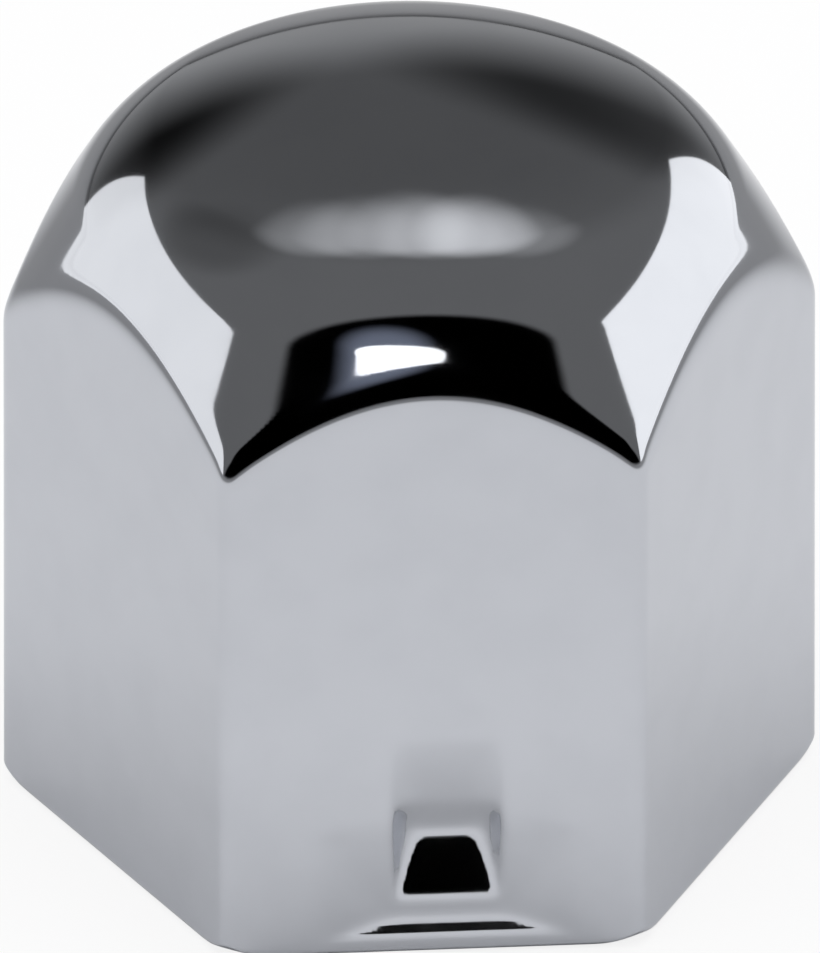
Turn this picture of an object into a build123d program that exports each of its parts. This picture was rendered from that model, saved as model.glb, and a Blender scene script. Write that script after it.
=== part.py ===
"""Push-on lug nut cover: one chromed cap, drawn and pressed from a single blank of sheet steel.

Millimetres, +Z up. The open mouth stands on z = 0 with its centre at the origin. One flat faces -Y
and the others follow every 60 degrees, so two of the corners lie on +X and -X.
"""

import math
import os

from build123d import *

# The hexagonal nut that the cover is pushed onto, and how the cover fits round it
nut_across_flats = 38.1
nut_depth = 24.0  # how far the nut's flats reach up inside the cover
nut_clearance = 0.10  # beside each flat of the nut, at that depth

# Sheet and overall height
wall = 1.0
height = 45.5

# The six drawn flats
draft = 0.82  # degrees that each flat leans in on its way up
corner_radius = 1.1  # outside of the upright corners
inner_corner_radius = 0.40
arch_radius = 5.0  # outside of the soft fold where a flat runs into the dome

# The round blank that the flats are pressed into, from its top down
crown_radius = 33.2
crown_slope = 25.5  # degrees from level, where the crown runs into the shoulder
shoulder_radius = 10.8
flank_slope = 58.3  # degrees from level, down the straight flank
foot_radius = 3.0  # where the flank turns down into the side
side_clearance = 0.15  # the round side lies this far outside the hexagon's corners
mouth_radius = 2.2  # turns the side in at the mouth and so rounds the flats' lower corners

# Free edge of the mouth
rim_radius = 0.75

# Grip dimples, pressed in on alternate flats with a punch that has a wedge-shaped nose. Heights are
# above the mouth: where the steep lower face starts, where the punch goes deepest, and where the
# long upper face runs out
dimple_count = 3
dimple_foot = 2.0
dimple_crease = 7.3
dimple_top = 14.0
dimple_depth = 1.65
dimple_nose = 1.0
dimple_width = 6.4
dimple_cheeks = 2.1  # how deep the punch's round cheeks would go by themselves

# Each dimple draws a wide shallow hollow in with it, just above the rim
hollow_foot = 0.85
hollow_crease = 2.5
hollow_top = 9.0
hollow_depth = 0.48
hollow_nose = 1.5
hollow_width = 15.0
hollow_cheeks = 0.56

mark_offset = 0.8  # both marks lie this far to the right of their flat's middle

# The flats stand as far out at the mouth as the nut, its clearance and the draft need
lean = math.tan(math.radians(draft))
inner_flat = nut_across_flats / 2 + nut_clearance + nut_depth * lean
outer_flat = inner_flat + wall
SIXTH = math.radians(60)
BELOW = 5.0  # how far cutting shapes reach past the mouth or the crown


def on_arc(centre, radius, slope):
    """A point in the (r, z) plane on an arc, where the arc has this slope in degrees from level."""
    angle = math.radians(slope)
    return centre[0] + radius * math.sin(angle), centre[1] + radius * math.cos(angle)


def blank(inset, bottom, mouth):
    """The round blank as a solid of revolution, moved in by inset and reaching down to bottom."""
    side = outer_flat / math.cos(SIXTH / 2) + side_clearance - inset
    crown = crown_radius - inset
    shoulder = shoulder_radius - inset
    foot = foot_radius - inset
    crown_centre = (0, height - crown_radius)
    crown_end = on_arc(crown_centre, crown, crown_slope)
    shoulder_centre = on_arc(crown_centre, crown_radius - shoulder_radius, crown_slope)
    shoulder_end = on_arc(shoulder_centre, shoulder, flank_slope)
    # The foot's arc touches the flank above and the side below
    foot_x = side - foot
    reach = on_arc((0, 0), foot, flank_slope)
    run = foot_x + reach[0] - shoulder_end[0]
    foot_centre = (foot_x, shoulder_end[1] - run * math.tan(math.radians(flank_slope)) - reach[1])
    foot_start = on_arc(foot_centre, foot, flank_slope)
    foot_end = (side, foot_centre[1])
    with BuildPart() as turned:
        with BuildSketch(Plane.XZ):
            with BuildLine():
                ThreePointArc((0, height - inset), on_arc(crown_centre, crown, crown_slope / 2), crown_end)
                middle = (crown_slope + flank_slope) / 2
                ThreePointArc(crown_end, on_arc(shoulder_centre, shoulder, middle), shoulder_end)
                Line(shoulder_end, foot_start)
                ThreePointArc(foot_start, on_arc(foot_centre, foot, (flank_slope + 90) / 2), foot_end)
                if mouth:
                    mouth_centre = (side - mouth_radius, bottom + mouth_radius)
                    mouth_start = (side, mouth_centre[1])
                    mouth_end = (mouth_centre[0], bottom)
                    Line(foot_end, mouth_start)
                    ThreePointArc(mouth_start, on_arc(mouth_centre, mouth_radius, 135), mouth_end)
                    Line(mouth_end, (0, bottom))
                else:
                    Line(foot_end, (side, bottom))
                    Line((side, bottom), (0, bottom))
                Line((0, bottom), (0, height - inset))
            make_face()
        revolve(axis=Axis.Z)
    return turned.part


def hexagon(inset, bottom):
    """The tapered prism between the six flats, moved in by inset and standing on bottom."""
    apothem = outer_flat - inset / math.cos(math.radians(draft)) - bottom * lean
    with BuildPart() as prism:
        with BuildSketch(Plane.XY.offset(bottom)):
            RegularPolygon(apothem / math.cos(SIXTH / 2), 6)
        extrude(amount=height + BELOW - bottom, taper=draft)
    return prism.part


def upright(edge):
    return abs((edge % 0.5).Z) > 0.9


def domed(inset, bottom):
    """Flats run into the dome over a rounded fold: a sharp-cornered prism within the round blank."""
    body = (hexagon(inset, bottom) & blank(inset, bottom, mouth=False)).solids()[0]
    flats = body.faces().filter_by(GeomType.PLANE).filter_by(lambda face: abs(face.normal_at().Z) < 0.5)
    arches = [flat.edges().sort_by(Axis.Z)[-1] for flat in flats]
    return fillet(arches, arch_radius - inset)


def outside():
    """Outer form: the domed body, with its upright corners, rim and lower corners rounded."""
    prism = hexagon(0, 0)
    rounded = fillet(prism.edges().filter_by(upright), corner_radius)
    base = rounded.faces().sort_by(Axis.Z)[0]
    rounded = fillet(base.edges(), rim_radius)
    return domed(0, 0) & rounded & blank(0, 0, mouth=True)


def inside():
    """The hollow: the outer form moved in by the wall, and open at the mouth."""
    prism = hexagon(wall, -BELOW)
    rounded = fillet(prism.edges().filter_by(upright), inner_corner_radius)
    return domed(wall, -BELOW) & rounded


def on_flat(depth, up):
    """A point in the (y, z) plane, this deep under the flat that faces -Y."""
    return up * lean - outer_flat + depth, up


def punch(foot, crease, top, depth, nose, width, cheeks, grow):
    """Wedge-nosed punch at the flat that faces -Y, grown all round by grow for the inner side."""
    # The wedge's two faces run on until they are well outside the flat
    back = 2 * wall
    below = foot - back * (crease - foot) / depth
    above = top + back * (top - crease) / depth
    with BuildPart() as wedge:
        with BuildSketch(Plane.YZ):
            with BuildLine():
                Polyline(on_flat(-back, below), on_flat(depth, crease), on_flat(-back, above), close=True)
            make_face()
            fillet(vertices().sort_by(Axis.X)[-1], nose)
            if grow:
                offset(amount=grow)
        extrude(amount=width, both=True)
    # The cheeks are round, about an upright axis in front of the flat
    radius = (width**2 / 4 + cheeks**2) / (2 * cheeks)
    middle = on_flat(cheeks - radius, crease)
    tall = above - below + 2 * grow
    cheek = Pos(0, middle[0], (above + below) / 2) * Cylinder(radius + grow, tall)
    return Pos(mark_offset, 0, 0) * (wedge.part & cheek)


def pressed(grow):
    """Everything that the punches displace, on alternate flats."""
    dimple = punch(
        dimple_foot, dimple_crease, dimple_top, dimple_depth, dimple_nose, dimple_width, dimple_cheeks, grow
    )
    hollow = punch(
        hollow_foot, hollow_crease, hollow_top, hollow_depth, hollow_nose, hollow_width, hollow_cheeks, grow
    )
    shapes = []
    for n in range(dimple_count):
        turn = Rot(0, 0, 360 / dimple_count * n)
        shapes += [turn * dimple, turn * hollow]
    return shapes


def cover():
    body = outside()
    cavity = inside()
    for shape in pressed(wall):
        cavity = cavity - shape
    body = body - cavity
    for shape in pressed(0):
        body = body - shape
    return body


os.makedirs("parts", exist_ok=True)
export_step(cover(), "parts/cover.step")
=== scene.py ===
"""Lug nut cover: one chromed steel pressing, standing on white paper in a studio. Metres, +Z up."""

import math

import bmesh
import bpy
from mathutils import Matrix, Vector


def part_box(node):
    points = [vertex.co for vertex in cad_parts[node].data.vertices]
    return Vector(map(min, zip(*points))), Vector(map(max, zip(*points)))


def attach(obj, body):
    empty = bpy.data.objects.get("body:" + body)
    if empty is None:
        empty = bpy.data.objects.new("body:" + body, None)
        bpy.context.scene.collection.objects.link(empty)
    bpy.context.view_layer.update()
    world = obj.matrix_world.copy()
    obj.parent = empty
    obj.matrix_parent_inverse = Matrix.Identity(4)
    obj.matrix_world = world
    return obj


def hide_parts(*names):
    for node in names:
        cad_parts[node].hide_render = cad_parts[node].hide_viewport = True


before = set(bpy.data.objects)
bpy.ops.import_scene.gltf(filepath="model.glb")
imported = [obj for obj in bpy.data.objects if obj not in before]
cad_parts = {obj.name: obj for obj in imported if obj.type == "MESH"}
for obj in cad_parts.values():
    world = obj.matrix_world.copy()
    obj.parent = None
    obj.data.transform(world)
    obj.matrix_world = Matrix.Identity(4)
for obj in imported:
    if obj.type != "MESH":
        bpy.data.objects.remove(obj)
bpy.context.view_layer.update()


# ---------------------------------------------------------------------------------------------------
# The blank. The real cover starts as a disc of steel sheet that is drawn into a round cap, thin and
# of one thickness all over: a crown, a tighter shoulder, a straight flank and an upright side.

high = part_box("cover")[1]
height = high.z
wall = 0.0010
draft = math.radians(0.82)  # the flats that are pressed later lean in by this much
lean = math.tan(draft)
rim_radius = 0.00075
flat_at_mouth = high.y + rim_radius * lean
corner_at_mouth = flat_at_mouth / math.cos(math.tau / 12)

crown_radius = 0.0332
crown_slope = math.radians(25.5)
shoulder_radius = 0.0108
flank_slope = math.radians(58.3)
foot_radius = 0.0030
side_clearance = 0.00015  # the round side lies this far outside the hexagon's corners
side = corner_at_mouth + side_clearance
dimpled_zone = 0.0145  # the side needs finer rows below this height
sheared_edge = 0.00010  # small radius at the mouth's inner edge
land_end = side - wall + sheared_edge

sixth = math.tau / 6
columns_dimpled = 88
columns_plain = 44


def sweep_arc(bm, start, x, z, turn, steps):
    """Carry the section on from its last vertex, round an arc about (x, z)."""
    arc = bmesh.ops.spin(
        bm, geom=[start], cent=(x, 0, z), axis=(0, 1, 0), angle=turn, steps=steps, use_duplicate=False
    )
    return arc["geom_last"][0]


def run_to(bm, start, x, z, steps):
    """Carry the section on from its last vertex, straight to (x, z)."""
    step = (Vector((x, 0, z)) - start.co) / steps
    tip = start
    for _ in range(steps):
        place = tip.co + step
        tip = bmesh.ops.extrude_vert_indiv(bm, verts=[tip])["verts"][0]
        tip.co = place
    return tip


def draw_section(bm, inset, rows):
    """Half of the round cap's section, from the crown down to the mouth, for the skin at this inset."""
    tip = bm.verts.new((0, 0, height - inset))
    crown_z = height - crown_radius
    tip = sweep_arc(bm, tip, 0, crown_z, crown_slope, rows["crown"])

    inner = crown_radius - shoulder_radius
    shoulder_x = inner * math.sin(crown_slope)
    shoulder_z = crown_z + inner * math.cos(crown_slope)
    tip = sweep_arc(bm, tip, shoulder_x, shoulder_z, flank_slope - crown_slope, rows["shoulder"])

    # The flank runs on, straight, until the foot's arc can turn it down into the side
    foot_x = side - foot_radius
    across = foot_x + (foot_radius - shoulder_radius) * math.sin(flank_slope) - shoulder_x
    drop = across * math.tan(flank_slope)
    foot_z = shoulder_z + (shoulder_radius - foot_radius) * math.cos(flank_slope) - drop
    tip = run_to(bm, tip, tip.co.x + across, tip.co.z - drop, rows["flank"])
    tip = sweep_arc(bm, tip, foot_x, foot_z, math.pi / 2 - flank_slope, rows["foot"])

    tip = run_to(bm, tip, side - inset, dimpled_zone, rows["side"])
    if inset == 0:
        tip = run_to(bm, tip, side, rim_radius, rows["dimples"])
        tip = sweep_arc(bm, tip, side - rim_radius, rim_radius, math.pi / 2, rows["edge"])
        run_to(bm, tip, land_end, 0, 1)
    else:
        tip = run_to(bm, tip, side - wall, sheared_edge, rows["dimples"])
        sweep_arc(bm, tip, land_end, sheared_edge, -math.pi / 2, rows["edge"])


def spin_third(bm, inset, rows, material):
    """A third of one skin: its section spun over a sixth that takes a dimple, then over a plain one."""
    old_verts, old_edges, old_faces = set(bm.verts), set(bm.edges), set(bm.faces)
    draw_section(bm, inset, rows)
    section = [v for v in bm.verts if v not in old_verts]
    section += [e for e in bm.edges if e not in old_edges]
    for columns in (columns_dimpled, columns_plain):
        turned = bmesh.ops.spin(
            bm, geom=section, cent=(0, 0, 0), axis=(0, 0, 1), angle=sixth, steps=columns,
            use_duplicate=False,
        )
        section = turned["geom_last"]
    for face in bm.faces:
        if face not in old_faces:
            face.material_index = material
    return [v for v in bm.verts if v not in old_verts]


# ---------------------------------------------------------------------------------------------------
# The flats. A hexagonal die presses six leaning flats into the cap and leaves a soft fold, arched,
# where each runs out into the dome. A punch then sinks a grip dimple into every second flat.

# An ease is how wide a band either side of a crease is rounded off, as a difference of two depths
corner_ease = 0.00070
fold_ease = 0.00086
low_fold_ease = 0.00040
fold_fades = (0.0275, 0.0320)  # the fold tightens from its full ease down to the low one between these
mouth_radius = 0.0022
mouth_power = 4  # how soon the corners' tuck at the mouth gives way to the side's own height

# The marks' heights are above the mouth: where the steep lower face starts, where the punch goes
# deepest, and where the long upper face runs out. Round cheeks bound them on both sides
dimple = {
    "foot": 0.0020, "crease": 0.0073, "top": 0.0140, "depth": 0.00165, "nose": 0.00016,
    "width": 0.0064, "cheeks": 0.0021, "cheek_ease": 0.00030,
}
hollow = {
    "foot": 0.00085, "crease": 0.0025, "top": 0.0090, "depth": 0.00048, "nose": 0.00008,
    "width": 0.0150, "cheeks": 0.00056, "cheek_ease": 0.00006,
}
mark_offset = 0.0008  # both marks lie this far to the right of their flat's middle
soft_top = (0.0074, 0.0100)  # the sheet has stretched softly round the punch's long upper face
soft_ease = 0.00090
edge_ease = 0.00008
join_ease = 0.00008  # between the dimple and its hollow

on_axis = 1e-6  # the crown's middle has no side to be pressed
gather_plain = 0.88
gather_corners = 0.35
gather_dimple = 0.45


def eased(a, b, ease):
    """The smaller of two lengths, with the crease where they cross rounded off."""
    return min(a, b) - max(ease - abs(a - b), 0) ** 2 / (4 * ease)


def smooth(value, start, end):
    """From 0 at the start to 1 at the end, level at both."""
    share = min(max((value - start) / (end - start), 0), 1)
    return share * share * (3 - 2 * share)


def spread_columns(share, plain):
    """Gather a flat's columns near its corners, at -1 and 1, and near its dimple where it has one."""
    to_corners = math.sin(math.pi * share) / math.pi
    if plain:
        return share + gather_plain * to_corners
    to_middle = math.sin(math.tau * share) / math.tau
    return share + gather_corners * to_corners - gather_dimple * to_middle


def punched(mark, across, up):
    """How deep this mark goes here, below zero outside it: a wedge's two faces between round cheeks."""
    lower = (up - mark["foot"]) * mark["depth"] / (mark["crease"] - mark["foot"])
    upper = (mark["top"] - up) * mark["depth"] / (mark["top"] - mark["crease"])
    radius = (mark["width"] ** 2 / 4 + mark["cheeks"] ** 2) / (2 * mark["cheeks"])
    across = min(abs(across - mark_offset), radius)
    cheeks = math.sqrt(radius ** 2 - across ** 2) - radius + mark["cheeks"]
    ease = mark["cheek_ease"] + soft_ease * smooth(up, *soft_top)
    return eased(eased(lower, upper, mark["nose"]), cheeks, ease)


def press(verts, inset):
    """Press a third of the round skin at this inset into two flats, the first of them dimpled."""
    for v in verts:
        radius = math.hypot(v.co.x, v.co.y)
        if radius < on_axis:
            continue
        turned = max(math.atan2(v.co.y, v.co.x), 0)
        plain = turned > sixth
        middle = sixth * (1.5 if plain else 0.5)
        from_middle = spread_columns((turned - middle) / (sixth / 2), plain) * sixth / 2
        up = v.co.z

        # The rounded rim keeps its distance from the flats all round the mouth
        tuck = side - inset - radius if up < dimpled_zone else 0
        apothem = flat_at_mouth - up * lean - inset / math.cos(draft) - tuck
        flat = apothem / math.cos(from_middle)
        neighbour = apothem / math.cos(sixth - abs(from_middle))
        hexagon = eased(flat, neighbour, corner_ease)
        fold = low_fold_ease + (fold_ease - low_fold_ease) * smooth(up, *fold_fades)
        radius = eased(radius + tuck, hexagon, fold)

        # The mouth turns in under the corners
        beyond = max(radius - side + mouth_radius, 0)
        lift = mouth_radius - math.sqrt(mouth_radius ** 2 - beyond ** 2)
        up = (up ** mouth_power + lift ** mouth_power) ** (1 / mouth_power)

        across = radius * math.sin(from_middle)
        out = radius * math.cos(from_middle)
        if not plain and up < dimpled_zone:
            marks = -eased(-punched(dimple, across, up), -punched(hollow, across, up), join_ease)
            ease = edge_ease + soft_ease * smooth(up, *soft_top)
            out -= max(-eased(-marks, 0, ease) - ease / 4, 0)
        v.co = Matrix.Rotation(middle, 3, "Z") @ Vector((out, across, up))


outer_rows = {"crown": 16, "shoulder": 18, "flank": 34, "foot": 7, "side": 16, "dimples": 38, "edge": 8}
inner_rows = {"crown": 10, "shoulder": 10, "flank": 18, "foot": 4, "side": 10, "dimples": 26, "edge": 2}
same_point = 1.5e-6

# Both skins end at the same point under the wall, to about a thousandth of a millimetre, so they
# close there once their doubles are merged
bm = bmesh.new()
press(spin_third(bm, 0, outer_rows, 0), 0)
press(spin_third(bm, wall, inner_rows, 1), wall)
bmesh.ops.spin(
    bm, geom=bm.verts[:] + bm.edges[:] + bm.faces[:], cent=(0, 0, 0), axis=(0, 0, 1),
    angle=4 * sixth, steps=2, use_duplicate=True,
)
bmesh.ops.remove_doubles(bm, verts=bm.verts, dist=same_point)
bmesh.ops.recalc_face_normals(bm, faces=bm.faces)
for face in bm.faces:
    face.smooth = True
mesh = bpy.data.meshes.new("cover_pressing")
bm.to_mesh(mesh)
bm.free()
pressing = bpy.data.objects.new("cover_pressing", mesh)
bpy.context.scene.collection.objects.link(pressing)


# ---------------------------------------------------------------------------------------------------
# The plating. Bright decorative chrome over nickel outside: a mirror, with the faintest waviness of
# drawn sheet under it. Inside, where the plating hardly throws, it stays thin and dull.

sheet = bpy.data.node_groups.new("drawn sheet", "ShaderNodeTree")
sheet.interface.new_socket("Vector", in_out="INPUT", socket_type="NodeSocketVector")
sheet.interface.new_socket("Waviness", in_out="INPUT", socket_type="NodeSocketFloat")
sheet.interface.new_socket("Patches", in_out="OUTPUT", socket_type="NodeSocketFloat")
sheet.interface.new_socket("Edge", in_out="OUTPUT", socket_type="NodeSocketFloat")
sheet.interface.new_socket("Normal", in_out="OUTPUT", socket_type="NodeSocketVector")
nodes, links = sheet.nodes, sheet.links
given = nodes.new("NodeGroupInput")
made = nodes.new("NodeGroupOutput")

# Slow waves left by the drawing die, and the fine peel of polished sheet on top of them
waves = nodes.new("ShaderNodeTexNoise")
waves.inputs["Scale"].default_value = 130
waves.inputs["Detail"].default_value = 1
peel = nodes.new("ShaderNodeTexNoise")
peel.inputs["Scale"].default_value = 1600
peel.inputs["Detail"].default_value = 2
wavy = nodes.new("ShaderNodeBump")
wavy.inputs["Distance"].default_value = 0.000022
peeled = nodes.new("ShaderNodeBump")
peeled.inputs["Strength"].default_value = 0.5
peeled.inputs["Distance"].default_value = 0.0000008
links.new(given.outputs["Vector"], waves.inputs["Vector"])
links.new(given.outputs["Vector"], peel.inputs["Vector"])
links.new(given.outputs["Waviness"], wavy.inputs["Strength"])
links.new(waves.outputs[0], wavy.inputs["Height"])
links.new(peel.outputs[0], peeled.inputs["Height"])
links.new(wavy.outputs["Normal"], peeled.inputs["Normal"])
links.new(peeled.outputs["Normal"], made.inputs["Normal"])

# Patches where handling has dulled the plating, and a mask for the sheared edge at the mouth
handled = nodes.new("ShaderNodeTexNoise")
handled.inputs["Scale"].default_value = 260
handled.inputs["Detail"].default_value = 4
patches = nodes.new("ShaderNodeMapRange")
patches.inputs["From Min"].default_value = 0.40
patches.inputs["From Max"].default_value = 0.75
links.new(given.outputs["Vector"], handled.inputs["Vector"])
links.new(handled.outputs[0], patches.inputs["Value"])
links.new(patches.outputs["Result"], made.inputs["Patches"])
axes = nodes.new("ShaderNodeSeparateXYZ")
edge = nodes.new("ShaderNodeMapRange")
edge.inputs["From Min"].default_value = 0.0005
edge.inputs["From Max"].default_value = 0.0001
links.new(given.outputs["Vector"], axes.inputs["Vector"])
links.new(axes.outputs["Z"], edge.inputs["Value"])
links.new(edge.outputs["Result"], made.inputs["Edge"])


def plated(name, clean, worn, polish, loss, waviness):
    """Plated sheet: its colour and roughness where clean and where worn, over the drawn sheet's form."""
    material = bpy.data.materials.new(name)
    material.use_nodes = True
    nodes, links = material.node_tree.nodes, material.node_tree.links
    shader = nodes["Principled BSDF"]
    shader.inputs["Metallic"].default_value = 1
    where = nodes.new("ShaderNodeTexCoord")
    under = nodes.new("ShaderNodeGroup")
    under.node_tree = sheet
    under.inputs["Waviness"].default_value = waviness
    links.new(where.outputs["Object"], under.inputs["Vector"])
    links.new(under.outputs["Normal"], shader.inputs["Normal"])
    wear = nodes.new("ShaderNodeMath")
    wear.operation = "MAXIMUM"
    links.new(under.outputs["Patches"], wear.inputs[0])
    links.new(under.outputs["Edge"], wear.inputs[1])
    tint = nodes.new("ShaderNodeMix")
    tint.data_type = "RGBA"
    tint.inputs["A"].default_value = (*clean, 1)
    tint.inputs["B"].default_value = (*worn, 1)
    links.new(wear.outputs[0], tint.inputs["Factor"])
    links.new(tint.outputs["Result"], shader.inputs["Base Color"])
    rough = nodes.new("ShaderNodeMapRange")
    rough.inputs["To Min"].default_value = polish
    rough.inputs["To Max"].default_value = polish + loss
    links.new(wear.outputs[0], rough.inputs["Value"])
    links.new(rough.outputs["Result"], shader.inputs["Roughness"])
    return material


chrome = plated("bright chrome", (0.54, 0.555, 0.59), (0.52, 0.535, 0.57), 0.045, 0.030, 0.6)
dull = plated("thin dull plating", (0.46, 0.46, 0.45), (0.30, 0.29, 0.27), 0.28, 0.22, 1.0)

mesh.materials.append(chrome)
mesh.materials.append(dull)
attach(pressing, "root")
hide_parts("cover")


# ---------------------------------------------------------------------------------------------------
# The studio. A sheet of white paper to stand on, a soft box at each side, one small lamp in front
# and above, and a large overhead light. The room in front is dark, and the chrome shows it.

floor_size = 4
bpy.ops.mesh.primitive_plane_add(size=floor_size)
floor = bpy.context.object
floor.name = "floor"

paper = bpy.data.materials.new("white paper")
paper.use_nodes = True
nodes, links = paper.node_tree.nodes, paper.node_tree.links
shader = nodes["Principled BSDF"]
shader.inputs["Base Color"].default_value = (0.93, 0.93, 0.94, 1)
shader.inputs["Roughness"].default_value = 0.9
shader.inputs["Specular IOR Level"].default_value = 0.1

# Painted shade: for glossy rays only, the paper is mixed up to 62% towards black with distance from a
# point 10 cm in front of the cover. It stands in for light falling off across the paper, and the chrome
# shows this painted shade behind and around it
path = nodes.new("ShaderNodeLightPath")
where = nodes.new("ShaderNodeTexCoord")
reach = nodes.new("ShaderNodeVectorMath")
reach.operation = "DISTANCE"
reach.inputs[1].default_value = (0, -0.10, 0)
links.new(where.outputs["Object"], reach.inputs[0])
painted_shade_falloff = nodes.new("ShaderNodeMapRange")
painted_shade_falloff.interpolation_type = "SMOOTHSTEP"
painted_shade_falloff.inputs["From Min"].default_value = 0.14
painted_shade_falloff.inputs["From Max"].default_value = 0.28
painted_shade_falloff.inputs["To Max"].default_value = 0.62
links.new(reach.outputs["Value"], painted_shade_falloff.inputs["Value"])
painted_shade_in_reflections = nodes.new("ShaderNodeMath")
painted_shade_in_reflections.operation = "MULTIPLY"
links.new(painted_shade_falloff.outputs["Result"], painted_shade_in_reflections.inputs[0])
links.new(path.outputs["Is Glossy Ray"], painted_shade_in_reflections.inputs[1])
# A black stand-in for the painted shade, seen only in the chrome
painted_shade_black = nodes.new("ShaderNodeBsdfDiffuse")
painted_shade_black.inputs["Color"].default_value = (0, 0, 0, 1)
paper_and_painted_shade = nodes.new("ShaderNodeMixShader")
links.new(painted_shade_in_reflections.outputs[0], paper_and_painted_shade.inputs[0])
links.new(shader.outputs[0], paper_and_painted_shade.inputs[1])
links.new(painted_shade_black.outputs[0], paper_and_painted_shade.inputs[2])

# The page round the cover is nearly plain white, and keeps a trace of the cover's shadow
page = nodes.new("ShaderNodeEmission")
for_camera = nodes.new("ShaderNodeMath")
for_camera.operation = "MULTIPLY"
for_camera.inputs[1].default_value = 0.85
links.new(path.outputs["Is Camera Ray"], for_camera.inputs[0])
seen = nodes.new("ShaderNodeMixShader")
links.new(for_camera.outputs[0], seen.inputs[0])
links.new(paper_and_painted_shade.outputs[0], seen.inputs[1])
links.new(page.outputs[0], seen.inputs[2])
links.new(seen.outputs[0], nodes["Material Output"].inputs["Surface"])
floor.data.materials.append(paper)


def direction(azimuth, elevation):
    """A unit vector: azimuth 0 is the side that faces -Y, and 90 is the +X side."""
    a, e = math.radians(azimuth), math.radians(elevation)
    return Vector((math.sin(a) * math.cos(e), -math.cos(a) * math.cos(e), math.sin(e)))


def lamp(name, place, look_at, width, length, radiance, glossy=True):
    """An area lamp that looks at a point, and gives each part of its face this radiance."""
    light = bpy.data.lights.new(name, "AREA")
    light.shape = "RECTANGLE"
    light.size = width
    light.size_y = length
    light.energy = radiance * width * length * math.pi
    holder = bpy.data.objects.new(name, light)
    holder.location = place
    holder.rotation_mode = "QUATERNION"
    holder.rotation_quaternion = (Vector(place) - Vector(look_at)).to_track_quat("Z", "Y")
    holder.visible_camera = False
    holder.visible_glossy = glossy
    bpy.context.scene.collection.objects.link(holder)
    return holder


box_distance = 0.60
box_width = 0.96
box_height = 0.40
for name, azimuth, radiance in (("left soft box", -103, 1.10), ("right soft box", 102, 1.30)):
    centre = Vector((0, 0, box_height / 2))
    lamp(name, direction(azimuth, 0) * box_distance + centre, centre, box_width, box_height, radiance)

key_distance = 0.80
key_size = (0.36, 0.10)
key_radiance = 1.6
fold_top = (0, 0, 0.03)
key = lamp("key lamp", direction(-7, 36) * key_distance, fold_top, *key_size, key_radiance)
key.data.shape = "ELLIPSE"

overhead_height = 0.9
overhead_size = 1.2
overhead_radiance = 1.95
lamp(
    "overhead light", (0, 0, overhead_height), (0, 0, 0), overhead_size, overhead_size,
    overhead_radiance, glossy=False,
)

# The rest of the room, seen only in the chrome, is grey. Its lighter and darker patches are discs of
# directions: azimuth, elevation, the angles where the disc starts to fade and ends, and its amount
world = bpy.data.worlds.new("studio")
bpy.context.scene.world = world
world.use_nodes = True
nodes, links = world.node_tree.nodes, world.node_tree.links
nodes.clear()
out = nodes.new("ShaderNodeOutputWorld")
room = nodes.new("ShaderNodeBackground")
page = nodes.new("ShaderNodeBackground")
page.inputs["Color"].default_value = (1, 1, 1, 1)
mix = nodes.new("ShaderNodeMixShader")
path = nodes.new("ShaderNodeLightPath")
links.new(path.outputs["Is Camera Ray"], mix.inputs[0])
links.new(page.outputs[0], mix.inputs[2])
links.new(mix.outputs[0], out.inputs["Surface"])
where = nodes.new("ShaderNodeTexCoord")


def facing(vector, inner, outer, amount):
    """amount within the inner angle of this direction, in degrees, and nothing beyond the outer one."""
    dot = nodes.new("ShaderNodeVectorMath")
    dot.operation = "DOT_PRODUCT"
    dot.inputs[1].default_value = vector
    links.new(where.outputs["Generated"], dot.inputs[0])
    edge = nodes.new("ShaderNodeMapRange")
    edge.interpolation_type = "SMOOTHSTEP"
    edge.inputs["From Min"].default_value = math.cos(math.radians(outer))
    edge.inputs["From Max"].default_value = math.cos(math.radians(inner))
    edge.inputs["To Min"].default_value = 0
    edge.inputs["To Max"].default_value = amount
    links.new(dot.outputs["Value"], edge.inputs["Value"])
    return edge.outputs["Result"]


def combine(operation, a, b):
    """A sum, difference or product of two numbers or sockets, as a socket."""
    node = nodes.new("ShaderNodeMath")
    node.operation = operation
    for socket, value in zip(node.inputs, (a, b)):
        if isinstance(value, (int, float)):
            socket.default_value = value
        else:
            links.new(value, socket)
    return node.outputs[0]


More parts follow.
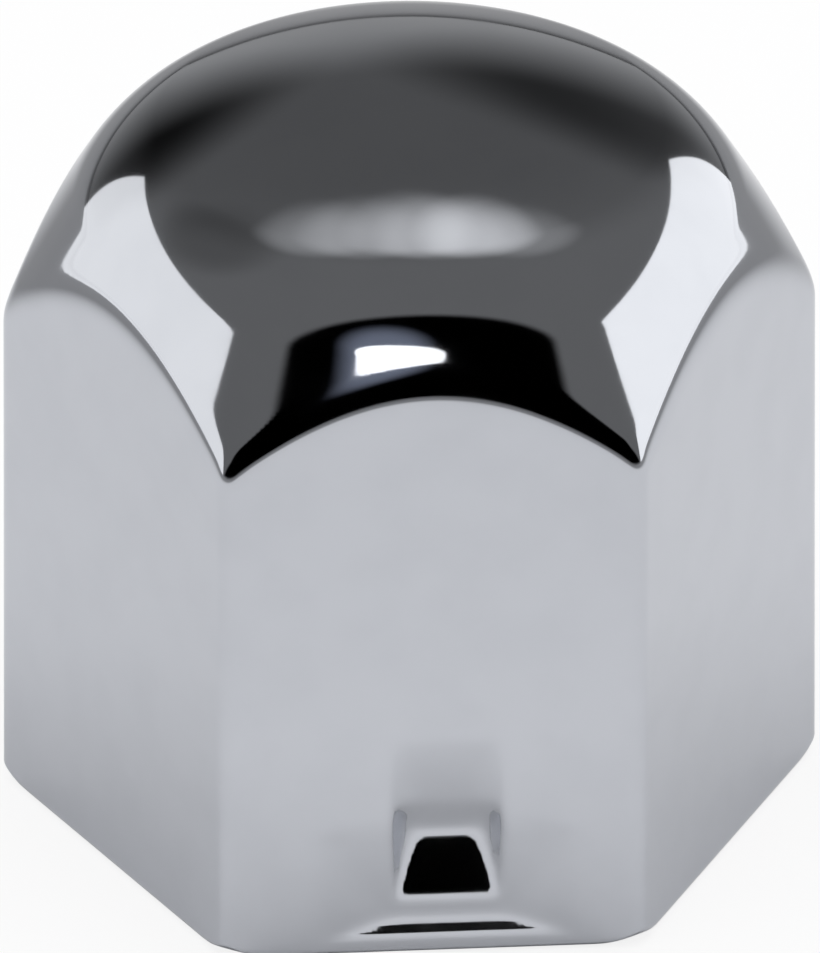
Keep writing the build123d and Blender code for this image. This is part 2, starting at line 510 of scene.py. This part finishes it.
room_level = 0.23
lighter = (
    (180, -15, 20, 45, 0.22),
    (-131, 69, 0, 12, 0.26),
    (-148, 75, 0, 12, 0.26),
    (176, 77, 0, 12, 0.32),
    (155, 77, 0, 12, 0.28),
    (135, 73, 0, 12, 0.60),
    (118, 66, 0, 12, 0.22),
)
darker = (
    (180, 45, 15, 50, 0.08),
    (-113, 48, 5, 20, 0.08),
    (-152, 15, 5, 25, 0.16),
    (156, 20, 5, 25, 0.12),
)
black = (
    (0, 8, 46.5, 49.5),
    (0, -30, 62, 66),
)
level = room_level
for azimuth, elevation, inner, outer, amount in lighter:
    level = combine("ADD", level, facing(direction(azimuth, elevation), inner, outer, amount))
for azimuth, elevation, inner, outer, amount in darker:
    level = combine("SUBTRACT", level, facing(direction(azimuth, elevation), inner, outer, amount))
for azimuth, elevation, inner, outer in black:
    kept = combine("SUBTRACT", 1, facing(direction(azimuth, elevation), inner, outer, 1))
    level = combine("MULTIPLY", level, kept)
links.new(level, room.inputs["Strength"])

# A bluish haze round the key lamp
halo = nodes.new("ShaderNodeBackground")
halo.inputs["Color"].default_value = (0.70, 0.78, 1, 1)
links.new(facing(direction(-12, 35), 6, 16, 0.30), halo.inputs["Strength"])
whole = nodes.new("ShaderNodeAddShader")
links.new(room.outputs[0], whole.inputs[0])
links.new(halo.outputs[0], whole.inputs[1])
links.new(whole.outputs[0], mix.inputs[1])


# ---------------------------------------------------------------------------------------------------
# The camera. A long lens from a little to the left and well above, close enough for the cover to
# fill the frame.

camera_distance = 0.670
aim = Vector((0, 0, 0.0192))
camera_data = bpy.data.cameras.new("camera")
camera_data.lens = 444
camera_data.sensor_width = 36
camera_data.clip_start = 0.01
camera = bpy.data.objects.new("camera", camera_data)
bpy.context.scene.collection.objects.link(camera)
back = direction(-3.7, 30.7)
camera.location = aim + back * camera_distance
camera.rotation_mode = "QUATERNION"
camera.rotation_quaternion = (-back).to_track_quat("-Z", "Y")
bpy.context.scene.camera = camera
bpy.context.scene.view_settings.view_transform = "Standard"
